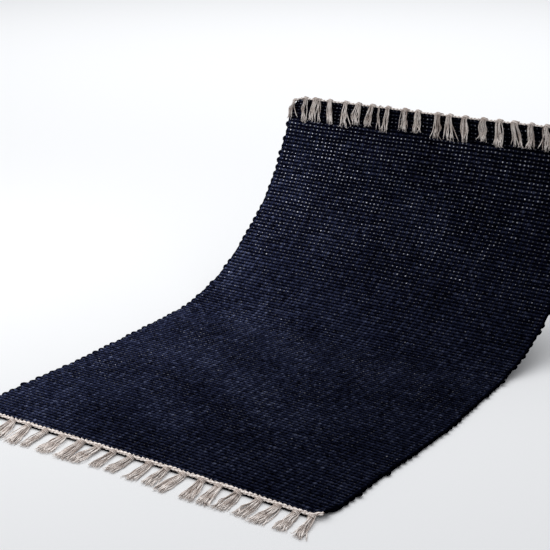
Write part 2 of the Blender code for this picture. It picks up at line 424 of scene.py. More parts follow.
def place_piece(name, mesh, material, collection):
    """Return a smooth object with this mesh and material, at the origin."""
    mesh.materials.append(material)
    mesh.shade_smooth()
    piece = bpy.data.objects.new(name, mesh)
    collection_once(collection).objects.link(piece)
    return piece


def collection_once(name):
    """Return the named collection, made on its first use."""
    collection = bpy.data.collections.get(name)
    if collection is None:
        collection = bpy.data.collections.new(name)
        bpy.context.scene.collection.children.link(collection)
    return collection


CURVE_STEPS = 16


def smooth_path(corners, count):
    """Return evenly spread points on a smooth curve through the given ones."""
    corners = np.asarray(corners, dtype=float)
    padded = np.vstack((2.0 * corners[0] - corners[1], corners, 2.0 * corners[-1] - corners[-2]))
    fine = []
    for index in range(len(corners) - 1):
        p0, p1, p2, p3 = padded[index:index + 4]
        t = np.linspace(0.0, 1.0, CURVE_STEPS, endpoint=False)[:, None]
        fine.append(0.5 * (
            2.0 * p1 + (p2 - p0) * t + (2.0 * p0 - 5.0 * p1 + 4.0 * p2 - p3) * t ** 2
            + (3.0 * p1 - p0 - 3.0 * p2 + p3) * t ** 3
        ))
    fine.append(corners[-1:])
    fine = np.concatenate(fine)
    metres = np.concatenate(([0.0], np.cumsum(np.linalg.norm(np.diff(fine, axis=0), axis=1))))
    wanted = np.linspace(0.0, metres[-1], count)
    return np.column_stack([np.interp(wanted, metres, fine[:, axis]) for axis in range(fine.shape[1])])


def unit(vectors):
    """Return the vectors at length one."""
    return vectors / np.linalg.norm(vectors, axis=-1, keepdims=True)


def yarn_rings(path, radii, reference, sides, lobe_depth=0.0, turns_per_metre=0.0):
    """Return rings round a path. Two plies make a lobed section that turns along it."""
    tangent = unit(np.gradient(path, axis=0))
    across = unit(np.cross(np.asarray(reference, dtype=float), tangent))
    up = np.cross(tangent, across)
    metres = np.concatenate(([0.0], np.cumsum(np.linalg.norm(np.diff(path, axis=0), axis=1))))
    round_angle = 2.0 * pi * np.arange(sides) / sides
    angle = round_angle[None, :] + 2.0 * pi * turns_per_metre * metres[:, None]
    radius = np.asarray(radii)[:, None] * (1.0 + lobe_depth * np.cos(2.0 * round_angle))[None, :]
    offset = np.cos(angle)[..., None] * across[:, None, :] + np.sin(angle)[..., None] * up[:, None, :]
    return path[:, None, :] + radius[..., None] * offset


class Shading:
    """A material being built: a Principled shader and short ways to add nodes."""

    def __init__(self, name):
        self.material = bpy.data.materials.new(name)
        self.material.use_nodes = True
        self.nodes = self.material.node_tree.nodes
        self.links = self.material.node_tree.links
        self.shader = self.nodes["Principled BSDF"]

    def set_shader(self, **values):
        """Set the shader's own sockets, named with _ for each space."""
        for name, value in values.items():
            self.shader.inputs[name.replace("_", " ")].default_value = value

    def join(self, source, target):
        """Link an output to an input, or set the input to a value."""
        if isinstance(source, bpy.types.NodeSocket):
            self.links.new(source, target)
        else:
            target.default_value = source

    def math(self, operation, first, second=0.0, third=0.0):
        """Add a Math node and return its output."""
        node = self.nodes.new("ShaderNodeMath")
        node.operation = operation
        for socket, value in zip(node.inputs, (first, second, third)):
            self.join(value, socket)
        return node.outputs["Value"]

    def noise(self, vector, scale, detail=2.0, roughness=0.5):
        """Add a Noise Texture and return its factor."""
        node = self.nodes.new("ShaderNodeTexNoise")
        self.join(vector, node.inputs["Vector"])
        node.inputs["Scale"].default_value = scale
        node.inputs["Detail"].default_value = detail
        node.inputs["Roughness"].default_value = roughness
        return node.outputs["Fac"]

    def stretch(self, vector, scale):
        """Add a Mapping node that scales a vector."""
        node = self.nodes.new("ShaderNodeMapping")
        self.join(vector, node.inputs["Vector"])
        node.inputs["Scale"].default_value = scale
        return node.outputs["Vector"]

    def between(self, value, low, high, new_low=0.0, new_high=1.0):
        """Add a Map Range node and return its result."""
        node = self.nodes.new("ShaderNodeMapRange")
        limits = {"From Min": low, "From Max": high, "To Min": new_low, "To Max": new_high}
        for name, number in limits.items():
            node.inputs[name].default_value = number
        self.join(value, node.inputs["Value"])
        return node.outputs["Result"]

    def blend(self, factor, first, second):
        """Add a Mix node for two colours and return its result."""
        node = self.nodes.new("ShaderNodeMix")
        node.data_type = "RGBA"
        colours = [socket for socket in node.inputs if socket.type == "RGBA"]
        self.join(factor, node.inputs["Factor"])
        self.join(first, colours[0])
        self.join(second, colours[1])
        return next(socket for socket in node.outputs if socket.type == "RGBA")

    def ramp(self, value, stops):
        """Add a Color Ramp with the given places and colours and return its colour."""
        node = self.nodes.new("ShaderNodeValToRGB")
        self.join(value, node.inputs["Fac"])
        elements = node.color_ramp.elements
        for place, _ in stops[1:-1]:
            elements.new(place)
        for element, (place, colour) in zip(elements, stops):
            element.position = place
            element.color = colour
        return node.outputs["Color"]

    def bump(self, height, distance, strength=1.0, normal=None):
        """Add a Bump node and return its normal."""
        node = self.nodes.new("ShaderNodeBump")
        node.inputs["Distance"].default_value = distance
        node.inputs["Strength"].default_value = strength
        self.join(height, node.inputs["Height"])
        if normal is not None:
            self.join(normal, node.inputs["Normal"])
        return node.outputs["Normal"]

    def object_place(self):
        """Return the Object coordinates."""
        return self.nodes.new("ShaderNodeTexCoord").outputs["Object"]

    def yarn_place(self):
        """Return the piece's UV map: metres along a yarn and turns round it."""
        node = self.nodes.new("ShaderNodeUVMap")
        node.uv_map = "yarn"
        return node.outputs["UV"]

    def attribute(self, name):
        """Return a number that the mesh stores at its points."""
        node = self.nodes.new("ShaderNodeAttribute")
        node.attribute_name = name
        return node.outputs["Fac"]


def opaque(colour):
    """Return a colour with an alpha of one."""
    return (*colour, 1.0)


def ply_height(shading, yarn, plies, pitch):
    """Return the height of ridges that wind round a yarn, 0 in the grooves and 1 on top."""
    split = shading.nodes.new("ShaderNodeSeparateXYZ")
    shading.join(yarn, split.inputs["Vector"])
    along = shading.math("MULTIPLY", split.outputs["X"], 2.0 * pi / pitch)
    wound = shading.math("MULTIPLY_ADD", split.outputs["Y"], 2.0 * pi * plies, along)
    return shading.math("MULTIPLY_ADD", shading.math("SINE", wound), 0.5, 0.5)


def navy_yarn(colours):
    """Return the material of the weft: plied navy cotton, with painted shade between the picks and painted
    highlight and wear on top.
    """
    shading = Shading("navy_cotton_yarn")
    yarn = shading.yarn_place()
    fibres = shading.noise(shading.stretch(yarn, (420.0, 9.0, 0.0)), 1.0, 3.0, 0.7)
    plies = ply_height(shading, yarn, 3.0, 0.012)
    fluff = shading.between(fibres, 0.30, 0.70, 0.30, 1.65)
    # The shade attribute carries painted shade between the picks and painted highlight on their tops; the
    # ramp turns it into navy.
    lit_and_rubbed = shading.math("MULTIPLY", shading.attribute("shade"), fluff)
    colour = shading.ramp(lit_and_rubbed, (
        (0.0, opaque(colours.navy_in_painted_shade)), (0.10, opaque(colours.navy_in_painted_shade)),
        (0.42, opaque(colours.navy)), (1.0, opaque(colours.worn_and_highlit_navy)),
    ))
    shading.join(colour, shading.shader.inputs["Base Color"])
    shading.set_shader(Roughness=1.0, Specular_IOR_Level=0.0)
    normal = shading.bump(plies, 0.0005, 0.7)
    normal = shading.bump(fibres, 0.0004, 0.6, normal)
    shading.join(normal, shading.shader.inputs["Normal"])
    return shading.material


def natural_yarn(colours):
    """Return the material of the fringes: plied undyed cotton, with painted shade between its plies."""
    shading = Shading("natural_cotton_yarn")
    place = shading.object_place()
    yarn = shading.yarn_place()
    tone = shading.noise(place, 45.0, 2.0)
    fibres = shading.noise(shading.stretch(yarn, (900.0, 8.0, 0.0)), 1.0, 3.0, 0.7)
    plies = ply_height(shading, yarn, 2.0, 0.0065)
    # Painted shade in the grooves between the plies.
    light = shading.math("MULTIPLY_ADD", plies, 0.45, shading.math("MULTIPLY", fibres, 0.55))
    stain = shading.between(tone, 0.3, 0.6, 0.75, 1.05)
    light = shading.math("MULTIPLY", shading.between(light, 0.22, 0.60), stain)
    # The shade attribute adds painted shade at the strands' roots and on the knots and painted light at
    # their tips.
    light = shading.math("MULTIPLY", light, shading.attribute("shade"))
    colour = shading.blend(light, opaque(colours.natural_shade), opaque(colours.natural))
    shading.join(colour, shading.shader.inputs["Base Color"])
    shading.set_shader(Roughness=0.9, Specular_IOR_Level=0.2, Sheen_Weight=0.1, Sheen_Roughness=0.5)
    normal = shading.bump(plies, 0.0003, 0.6)
    normal = shading.bump(fibres, 0.0003, 0.6, normal)
    shading.join(normal, shading.shader.inputs["Normal"])
    return shading.material


def warp_yarn(colours):
    """Return the material of the warp that shows: natural cotton, blended towards navy by each dot's
    painted light and shade and by navy fluff.
    """
    shading = Shading("warp_cotton_yarn")
    fluff = shading.noise(shading.object_place(), 700.0, 2.0)
    light = shading.math("MULTIPLY", shading.attribute("shade"), shading.between(fluff, 0.3, 0.7, 0.7, 1.1))
    colour = shading.blend(light, opaque(colours.navy), opaque(colours.warp))
    shading.join(colour, shading.shader.inputs["Base Color"])
    shading.set_shader(Roughness=1.0, Specular_IOR_Level=0.0)
    shading.join(shading.bump(fluff, 0.0003, 0.6), shading.shader.inputs["Normal"])
    return shading.material


def floor_finish():
    """Return the material of the floor: plain and pale, with a faint paper tooth."""
    shading = Shading("pale_floor")
    tooth = shading.noise(shading.object_place(), 260.0, 3.0)
    colour = shading.blend(tooth, (0.845, 0.850, 0.855, 1.0), (0.865, 0.868, 0.872, 1.0))
    shading.join(colour, shading.shader.inputs["Base Color"])
    shading.set_shader(Roughness=0.9, Specular_IOR_Level=0.1)
    return shading.material


def material_once(name, maker, colours):
    """Return the named material, made on its first use."""
    return bpy.data.materials.get(name) or maker(colours)


def warp_places(settings):
    """Return the X of each warp thread that shows, from left to right."""
    count = int((RUG_WIDTH / 2.0 - settings.warp_spacing) / settings.warp_spacing)
    return np.arange(-count, count + 1) * settings.warp_spacing


# The core: a thin solid sheet in the middle of the cloth, a little inside its edges.
GROUND_HALF_THICKNESS = 0.0005
GROUND_INSET = 0.006
GROUND_ROWS = 160
GROUND_COLUMNS = 24
SHARP_ANGLE = radians(40.0)


class RUG_OT_ground(bpy.types.Operator):
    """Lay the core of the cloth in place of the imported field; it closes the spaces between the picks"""

    bl_idname = "rug.ground"
    bl_label = "Cloth core"

    def execute(self, context):
        settings = context.scene.rug_settings
        bpy.ops.object.select_all(action="DESELECT")
        bpy.ops.mesh.primitive_grid_add(
            x_subdivisions=GROUND_COLUMNS, y_subdivisions=GROUND_ROWS, size=1.0
        )
        core = context.object
        core.name = core.data.name = "navy_cloth"
        for vertex in core.data.vertices:
            vertex.co.x *= RUG_WIDTH - 2.0 * GROUND_INSET
            vertex.co.y = (vertex.co.y + 0.5) * (RUG_LENGTH - GROUND_INSET) + GROUND_INSET / 2.0
            vertex.co.z = settings.cloth_middle - GROUND_HALF_THICKNESS
        thicken = core.modifiers.new("Core thickness", "SOLIDIFY")
        thicken.thickness = 2.0 * GROUND_HALF_THICKNESS
        thicken.offset = 1.0
        bpy.ops.object.modifier_apply(modifier=thicken.name)
        points = np.array([vertex.co[:] for vertex in core.data.vertices])
        core.data.vertices.foreach_set("co", drape(points).ravel())
        material = material_once("navy_cotton_yarn", navy_yarn, context.scene.rug_colours)
        core.data.materials.append(material)
        core.data.uv_layers[0].name = "yarn"
        core.data.shade_smooth()
        core.data.set_sharp_from_angle(angle=SHARP_ANGLE)
        for holder in list(core.users_collection):
            holder.objects.unlink(core)
        collection_once(FIELD_COLLECTION).objects.link(core)
        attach(core, "root")
        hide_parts("woven_field")
        return {"FINISHED"}


# The weft is pinched where a warp thread crosses it and full between two of them.
WEFT_PIECES = ("weft_floor_half", "weft_raised_half")
WEFT_SIDES = 8
PINCH = 0.80
BELLY = 1.04
UNEVEN_SIZE = 0.035
PICK_DRIFT = 0.00035
PICK_LIFT = 0.00008

# How pale it is: on the whole; with painted shade where it is pinched, on the raised part
# and in the band at the back end; lighter and darker in turn from one belly to the next,
# painted for the weave's relief; uneven from one belly to the next; and with painted shade
# down the sides of a pick, under a painted highlight on its top and underside.
PALENESS = 0.46
PALE_UNEVENNESS = 0.14
PINCH_SHADE = 0.60
RAISED_SHADE = 0.74
BAND_PAINTED_SHADE = 0.6
CHECKER = 0.10
BELLY_UNEVENNESS = 0.28
FLANK_SHADE = 0.06

# The loops in which it turns at the selvedges, and the edge warp inside them: its distance
# from the selvedge, its radius, and how far it strays and how uneven that radius is.
LOOP_STEPS = 6
LOOP_HALF_WIDTH = 0.0034
LOOP_HEIGHT = 0.95
LOOP_SQUARENESS = 0.95
LOOP_RISE = 0.0008
LOOP_RISES = (0.2, 1.6)
# Painted shade: the turns and the edge warp inside them are kept dark, for the shade along the selvedges.
LOOP_SHADE = 0.14
LOOP_UNEVENNESS = 0.0013
LOOP_DRIFT = 0.0006
SELVEDGE_CORD = (0.0048, 0.0024)
SELVEDGE_CORD_WAVER = (0.0004, 0.06)
SELVEDGE_CORD_STEP = 0.003


def pale_patches_and_painted_shade(x, along):
    """Return how pale the weft is, about 0.5: uneven by patch and by stretch of a pick, with painted shade
    on the raised part and in the band at the back end.
    """
    patch = soft_waves(*PALE_PATCH_WAVES)(x, along)
    stretch = soft_waves(*PALE_STRETCH_WAVES)(x, along)
    # Painted shade in the band at the back end and on the raised part.
    band = np.where(along > RUG_LENGTH - END_BAND, BAND_PAINTED_SHADE, 1.0)
    level = 1.0 + (RAISED_SHADE - 1.0) * raised_share(along)
    return band * level * PALENESS * np.exp(PALE_UNEVENNESS * (patch + stretch))


def weft_rings(settings, first, last):
    """Return the weft's rings from pick to pick, turning at each selvedge, and their paleness."""
    pitch = RUG_LENGTH / settings.pick_count
    columns = warp_places(settings)
    bellies = (columns[:-1] + columns[1:]) / 2.0
    turn_x = RUG_WIDTH / 2.0 - pitch / 2.0 - LOOP_HALF_WIDTH
    stops = np.sort(np.concatenate((columns, bellies, (-turn_x, turn_x))))
    pinched = np.isin(stops, columns)
    drift = soft_waves(*PICK_DRIFT_WAVES)
    swell = soft_waves(*PICK_SWELL_WAVES)
    lift = soft_waves(*PICK_LIFT_WAVES)
    chance = np.random.default_rng(PICK_SEED)
    selvedge = soft_waves(*LOOP_WAVES)(0.0, np.arange(settings.pick_count) * pitch)
    loop_reach = chance.normal(0.0, LOOP_UNEVENNESS, settings.pick_count) + LOOP_DRIFT * selvedge
    path, half_widths, half_heights, glows = [], [], [], []
    for pick in range(first, last):
        forward = pick % 2 == 0
        x = stops if forward else stops[::-1]
        squeeze = np.where(pinched if forward else pinched[::-1], PINCH, BELLY)
        along = np.full(len(x), (pick + 0.5) * pitch)
        size = squeeze * (1.0 + UNEVEN_SIZE * swell(x, along))
        glow = np.exp(BELLY_UNEVENNESS * chance.normal(0.0, 1.0, len(x)))
        # Painted relief: bellies lighter and darker in turn, as the plain weave would lift and sink them.
        even_belly = (np.arange(len(x)) // 2 + pick) % 2 == 0
        glow = glow * np.where(even_belly, 1.0 + CHECKER, 1.0 - CHECKER)
        # Painted shade where the warp pinches the weft.
        glows.append(glow * pale_patches_and_painted_shade(x, along) * np.where(squeeze == PINCH, PINCH_SHADE, 1.0))
        path.append(np.column_stack((x, along, np.full(len(x), settings.cloth_middle))))
        half_widths.append(size * settings.weft_half_width)
        half_heights.append(size * settings.weft_half_height)
        if pick + 1 < settings.pick_count:
            side = 1.0 if forward else -1.0
            turn = pi * np.arange(1, LOOP_STEPS) / LOOP_STEPS
            reach = pitch / 2.0 + loop_reach[pick]
            back_turn = np.sign(np.cos(turn)) * np.abs(np.cos(turn)) ** LOOP_SQUARENESS
            path.append(np.column_stack((
                side * (turn_x + reach * np.sin(turn) ** LOOP_SQUARENESS),
                (pick + 1.0) * pitch - pitch / 2.0 * back_turn,
                settings.cloth_middle + LOOP_RISE * chance.uniform(*LOOP_RISES) * np.sin(turn),
            )))
            half_widths.append(np.full(len(turn), LOOP_HALF_WIDTH))
            half_heights.append(np.full(len(turn), settings.weft_half_height * LOOP_HEIGHT))
            glows.append(np.full(len(turn), LOOP_SHADE))
    path = np.concatenate(path)
    tangent = unit(np.gradient(path, axis=0))
    path[:, 1] += PICK_DRIFT * drift(path[:, 0], path[:, 1])
    path[:, 2] += PICK_LIFT * lift(path[:, 0], path[:, 1])
    outward = np.cross(tangent, (0.0, 0.0, 1.0))
    angle = 2.0 * pi * np.arange(WEFT_SIDES) / WEFT_SIDES
    # Painted shade down the sides of each pick, painted highlight on its top and underside.
    crest = FLANK_SHADE + (1.0 - FLANK_SHADE) * np.cos(angle) ** 2.0
    tall = np.concatenate(half_heights)[:, None, None] * np.cos(angle)[None, :, None]
    wide = np.concatenate(half_widths)[:, None, None] * np.sin(angle)[None, :, None]
    rings = path[:, None, :] + tall * np.array((0.0, 0.0, 1.0)) + wide * outward[:, None, :]
    return rings, np.concatenate(glows)[:, None] * crest


# The thin last pick: its distance past the cloth's end, its height and its radius, and
# how far it strays and how uneven that radius is.
END_PICK = (0.0042, 0.00138, 0.00115)
END_PICK_WAVER = (0.0003, 0.05)
END_PICK_STEP = 0.004
# Partly real and partly painted shade: a navy last pick under the cord, kept near the shaded navy for the
# dark line beneath it.
END_PICK_SHADE = 0.12


def end_pick_rings():
    """Return the rings of the thin last pick that lies under the front heading's cord."""
    past, height, radius = END_PICK
    stray, swell = END_PICK_WAVER
    half_width = RUG_WIDTH / 2.0 - END_PICK_STEP
    x = np.arange(-half_width, half_width, END_PICK_STEP)
    waver = soft_waves(*END_PICK_WAVES)(x, 0.0)
    path = np.column_stack((x, -past + stray * waver, np.full(len(x), height)))
    return yarn_rings(path, radius * (1.0 + swell * waver), (0.0, 0.0, 1.0), WEFT_SIDES)


def selvedge_rings(settings, side):
    """Return the rings of the edge warp that fills the space between the turns at one side."""
    inset, radius = SELVEDGE_CORD
    stray, swell = SELVEDGE_CORD_WAVER
    along = np.arange(SELVEDGE_CORD_STEP, RUG_LENGTH - SELVEDGE_CORD_STEP, SELVEDGE_CORD_STEP)
    waver = soft_waves(*SELVEDGE_CORD_WAVES)(0.0, along)
    x = side * (RUG_WIDTH / 2.0 - inset + stray * waver)
    path = np.column_stack((x, along, np.full(len(along), settings.cloth_middle)))
    return yarn_rings(path, radius * (1.0 + swell * waver), (0.0, 0.0, 1.0), WEFT_SIDES)


class RUG_OT_weft(bpy.types.Operator):
    """Lay the weft: one long navy cord that turns back at each selvedge"""

    bl_idname = "rug.weft"
    bl_label = "Weft"

    def execute(self, context):
        settings = context.scene.rug_settings
        material = material_once("navy_cotton_yarn", navy_yarn, context.scene.rug_colours)
        half = settings.pick_count // 2
        for name, first in zip(WEFT_PIECES, (0, half)):
            weft = YarnMesh()
            weft.add(*weft_rings(settings, first, first + half))
            if first == 0:
                weft.add(end_pick_rings(), END_PICK_SHADE)
            else:
                weft.add(selvedge_rings(settings, -1.0), LOOP_SHADE)
                weft.add(selvedge_rings(settings, 1.0), LOOP_SHADE)
            piece = weft.build(name, material, FIELD_COLLECTION)
            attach(piece, "root")
            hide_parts("woven_field")
        return {"FINISHED"}


WarpFace = namedtuple("WarpFace", "name side sides")
WARP_FACES = (WarpFace("warp_of_face", 1.0, 6), WarpFace("warp_of_underside", -1.0, 4))
WARP_SEAT = 0.00185
WARP_SEATS = (0.94, 1.04)
WARP_WANDER = (0.00035, 0.0002)
BEAD_SIZES = (0.8, 1.15)

# How light the dots are, with painted light: dim on the floor and bright at the top, and with
# painted shade in the band at the back end; how late the painted light gathers on the way up,
# how fast it falls off to the right, and how uneven they are by patch, by row and by dot.
FLOOR_DOTS = 0.060
RAISED_DOTS = 0.37
BAND_DOT_SHADE = 0.35
ODD_ROW_DOTS = 0.62
DOT_LIGHT_GATHERS_UPWARDS = 2.2
DOT_LIGHT_FALLOFF_TO_RIGHT = 1.2
DOT_PATCHES = 0.35
DOT_STRETCHES = 0.25
DOT_UNEVENNESS = 0.58


def bead_shape(sides):
    """Return the points and triangles of one small bead with a point above and below."""
    angle = 2.0 * pi * np.arange(sides) / sides
    rim = np.column_stack((np.cos(angle), np.sin(angle), np.zeros(sides)))
    points = np.vstack((rim, (0.0, 0.0, 1.0), (0.0, 0.0, -1.0)))
    top, bottom = sides, sides + 1
    faces = []
    for index in range(sides):
        after = (index + 1) % sides
        faces += [(index, after, top), (after, index, bottom)]
    return points, np.array(faces)


def dot_shades(x, along, rows):
    """Return how light each dot of warp is: uneven by dot, by row and by patch, with painted light that
    rises on the way up and falls off to the right, and painted shade in the band at the back end.
    """
    chance = np.random.default_rng(DOT_SEED)
    patch = soft_waves(*DOT_PATCH_WAVES)(x, along)
    stretch = soft_waves(*DOT_STRETCH_WAVES)(x, along)
    # Painted light: the dots brighten on the way up, and painted shade dims them in the band at the back
    # end.
    light = FLOOR_DOTS + (RAISED_DOTS - FLOOR_DOTS) * raised_share(along) ** DOT_LIGHT_GATHERS_UPWARDS
    light = light * np.where(along > RUG_LENGTH - END_BAND, BAND_DOT_SHADE, 1.0)
    single = DOT_UNEVENNESS * chance.normal(0.0, 1.0, len(x))
    light = light * np.exp(DOT_PATCHES * patch + DOT_STRETCHES * stretch + single)
    # Painted light that falls off to the right.
    light = light * np.exp(-DOT_LIGHT_FALLOFF_TO_RIGHT * x)
    return np.clip(light * np.where(rows % 2 == 0, 1.0, ODD_ROW_DOTS), 0.0, 1.0)


class RUG_OT_warp(bpy.types.Operator):
    """Set the light dots of warp where it crosses the picks, on both faces"""

    bl_idname = "rug.warp"
    bl_label = "Warp"

    def execute(self, context):
        settings = context.scene.rug_settings
        material = material_once("warp_cotton_yarn", warp_yarn, context.scene.rug_colours)
        pitch = RUG_LENGTH / settings.pick_count
        rows, x = np.meshgrid(np.arange(settings.pick_count), warp_places(settings), indexing="ij")
        rows, x = rows.ravel(), x.ravel()
        along = (rows + 0.5) * pitch
        drift = soft_waves(*PICK_DRIFT_WAVES)
        for face in WARP_FACES:
            chance = np.random.default_rng(BEAD_SEED)
            shades = dot_shades(x, along, rows)
            places = np.column_stack((
                x + chance.normal(0.0, WARP_WANDER[0], len(x)),
                along + PICK_DRIFT * drift(x, along) + chance.normal(0.0, WARP_WANDER[1], len(x)),
                settings.cloth_middle + face.side * WARP_SEAT * chance.uniform(*WARP_SEATS, len(x)),
            ))
            shape, triangles = bead_shape(face.sides)
            scale = np.array(settings.warp_bead) * chance.uniform(*BEAD_SIZES, len(x))[:, None]
            points = (places[:, None, :] + shape[None, :, :] * scale[:, None, :]).reshape(-1, 3)
            faces = triangles[None, :, :] + len(shape) * np.arange(len(x))[:, None, None]
            mesh = bpy.data.meshes.new(face.name)
            mesh.from_pydata(drape(points).tolist(), [], faces.reshape(-1, 3).tolist())
            shade = mesh.attributes.new("shade", "FLOAT", "POINT")
            shade.data.foreach_set("value", np.repeat(shades, len(shape)))
            piece = place_piece(face.name, mesh, material, WARP_COLLECTION)
            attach(piece, "root")
            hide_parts("woven_field")
        return {"FINISHED"}


# A fringe: the side view of one tassel's middle as along and height in millimetres past
# its end of the cloth, its cord's place there, how thick the cord is beside the thickest,
# how far the warp's ends reach, where along the side view a tassel starts to spread and
# where its knot is, how late it spreads, 1 for evenly, and the seed of its unevenness.
Fringe = namedtuple("Fringe", "name end outwards tassels spine cord thickness teeth knot wrap spread seed")
FRINGES = (
    Fringe(
        name="front_fringe_yarns", end=0.0, outwards=-1.0, tassels=FRONT_TASSELS,
        spine=(
            (3.4, 3.4), (7.5, 3.4), (12.0, 3.0), (20.0, 2.6), (34.0, 2.4), (50.0, 2.2), (60.0, 2.1),
        ),
        cord=(2.9, 4.2), thickness=1.0, teeth=0.7, knot=4.6, wrap=4.6, spread=0.55, seed=31,
    ),
    Fringe(
        name="back_fringe_yarns", end=RUG_LENGTH, outwards=1.0, tassels=BACK_TASSELS,
        spine=(
            (0.4, -1.6), (1.6, 0.0), (2.1, 3.4), (1.0, 7.0), (-2.5, 8.8), (-20.0, 9.3), (-56.0, 9.0),
        ),
        cord=(0.5, 3.0), thickness=0.72, teeth=0.2, knot=3.3, wrap=6.0, spread=0.8, seed=32,
    ),
)

# The heading's cord: the radius of a ply, of the helix that it winds along and its pitch,
# and how far it strays and how uneven its radius is.
CORD_RADIUS = 0.00165
CORD_HELIX = 0.00105
CORD_TWIST = 0.0156
CORD_STEP = 0.0017
CORD_INSET = 0.001
CORD_WAVER = (0.0003, 0.06)
CORD_WAVE_RATE = 160.0
CORD_END_SHARE = 0.6
# The cord and the warp's ends are painted lighter, with less of the painted shade between their plies.
HEADING_SHADE = 1.15

# The warp's ends: how far they start and end from the cloth's end, with their heights,
# their radius from point to point, and how uneven they are in place, reach and thickness.
TOOTH_ROOTS = ((2.6, 5.4), (0.6, 5.8))
TOOTH_TIPS = ((-1.3, 5.5), (-2.3, 4.4))
TOOTH_RADII = (0.0010, 0.0009, 0.0007, 0.0006, 0.0005, 0.0003)
TOOTH_SHIFT = 0.0012
TOOTH_LONGEST = 1.4
TOOTH_PATCHES = (0.75, 0.8)
TOOTH_PATCH_LIMITS = (0.1, 1.3)
TOOTH_SIZES = (0.7, 1.0)
TOOTH_SIDES = 5
TOOTH_SEED_STEP = 100
TOOTH_PATCH_SEED_STEP = 200
TOOTH_PATCH_RATE = 60.0

# The strands: how uneven they are in place, bend, wander, depth and length, how they lie
# in the bundle, their sizes and lightness, and the loose fibres at their ends.
SPINE_STEPS = 120
STRAND_SIDES = 6
STRAND_STEPS = 22
STRAND_TURNS = 95.0
STRAND_LOBES = 0.14
STRAND_SHUFFLE = 0.14
STRAND_BEND = 0.0018
STRAND_HOOK = 0.0017
STRAND_WANDER = 0.0015
STRAND_DEPTH = 0.0004
STRAND_STOP = 0.05
STRAND_SIZES = (0.80, 1.1)
STRAND_SHADES = (0.40, 1.60)
STRAND_TAPER = (1.0, 0.95, 0.75)
BUNDLE_THICKNESS = (0.0034, 0.0024)
FLARE_BEFORE_KNOT = 0.0012
GOLDEN_SHARE = 0.618
LAYER_SHUFFLE = 0.2
WANDER_TURNS = (6.0, 14.0)
WANDER_STARTS = (0.0, 6.0)
STRAY_CURVE = 1.5
# Painted shade at a strand's root and painted light at its tip.
ROOT_SHADE = 0.72
TIP_SHADE = 1.30
FIBRE_COUNT = 3
FIBRE_SPREAD = 0.28
FIBRE_LENGTHS = (0.002, 0.0055)
FIBRE_ROOT = 0.001
FIBRE_BEND = (0.45, 0.1)
FIBRE_RADII = (0.5, 0.36, 0.12)
FIBRE_LOWEST = 0.0006

# The knot: the turns of yarn round the strands, and the clearance of what lies on the floor.
KNOT_TURNS = 2.6
KNOT_TURNS_SIDE_BY_SIDE = 2.2
KNOT_STEPS = 34
KNOT_HALF_HEIGHT = 0.0023
KNOT_YARN = 0.00118
KNOT_SLANT = 0.25
KNOT_LOBES = 0.1
# Painted shade on the knot's turns.
KNOT_SHADE = 0.75
FEWEST_KNOTTED = 4
FLOOR_GAP = 0.0001
FATTEST_STRAND = 1.26
FATTEST_WRAP = 1.12


def fringe_place(fringe, past_mm, height_mm):
    """Return the length along and height, in metres, of a place past the cloth's end."""
    return fringe.end + fringe.outwards * past_mm / 1000.0, height_mm / 1000.0


def heading_cord(yarns, fringe):
    """Add the two plies of the cord that binds the end of the cloth."""
    along, height = fringe_place(fringe, *fringe.cord)
    x = np.arange(-RUG_WIDTH / 2.0 + CORD_INSET, RUG_WIDTH / 2.0, CORD_STEP)
    waver = soft_waves(fringe.seed, CORD_WAVE_RATE, 0.0)(x, 0.0)
    stray, swell = CORD_WAVER
    helix = CORD_HELIX * fringe.thickness
    for ply in (0.0, pi):
        angle = 2.0 * pi * x / CORD_TWIST + ply
        path = np.column_stack((
            x, along + helix * np.cos(angle) + stray * waver,
            height + helix * np.sin(angle) + stray * waver,
        ))
        radii = CORD_RADIUS * fringe.thickness * (1.0 + swell * waver)
        radii[[0, -1]] *= CORD_END_SHARE
        yarns.add(yarn_rings(path, radii, (0.0, 0.0, 1.0), STRAND_SIDES), HEADING_SHADE)


def warp_teeth(yarns, fringe, settings):
    """Add the warp ends that cross from the cord to the first pick, over each face."""
    chance = np.random.default_rng(fringe.seed + TOOTH_SEED_STEP)
    uneven = soft_waves(fringe.seed + TOOTH_PATCH_SEED_STEP, TOOTH_PATCH_RATE, 0.0)
    for x in warp_places(settings):
        shift = chance.normal(0.0, TOOTH_SHIFT)
        patch = np.clip(TOOTH_PATCHES[0] + TOOTH_PATCHES[1] * uneven(x, 0.0), *TOOTH_PATCH_LIMITS)
        depth = fringe.teeth * chance.uniform(0.0, TOOTH_LONGEST) * patch
        thick = chance.uniform(*TOOTH_SIZES)
        corners = [(x, *fringe_place(fringe, *root)) for root in TOOTH_ROOTS]
        corners[0] = (x + shift, *corners[0][1:])
        corners += [(x, *fringe_place(fringe, past * depth, height)) for past, height in TOOTH_TIPS]
        path = smooth_path(corners, len(TOOTH_RADII))
        radii = thick * np.array(TOOTH_RADII)
        yarns.add(yarn_rings(path, radii, (1.0, 0.0, 0.0), TOOTH_SIDES), HEADING_SHADE)


def spine_of(fringe, length_mm):
    """Return a tassel's side view: places, directions and outward normals along it."""
    places = np.array([fringe_place(fringe, *row) for row in fringe.spine])
    whole = smooth_path(places, SPINE_STEPS)
    metres = np.concatenate(([0.0], np.cumsum(np.linalg.norm(np.diff(whole, axis=0), axis=1))))
    wanted = np.linspace(0.0, length_mm / 1000.0 + fringe.knot / 1000.0, STRAND_STEPS)
    places = np.column_stack([np.interp(wanted, metres, whole[:, axis]) for axis in (0, 1)])
    ahead = unit(np.gradient(places, axis=0))
    normal = np.column_stack((ahead[:, 1], -ahead[:, 0]))
    return wanted, places, ahead, normal


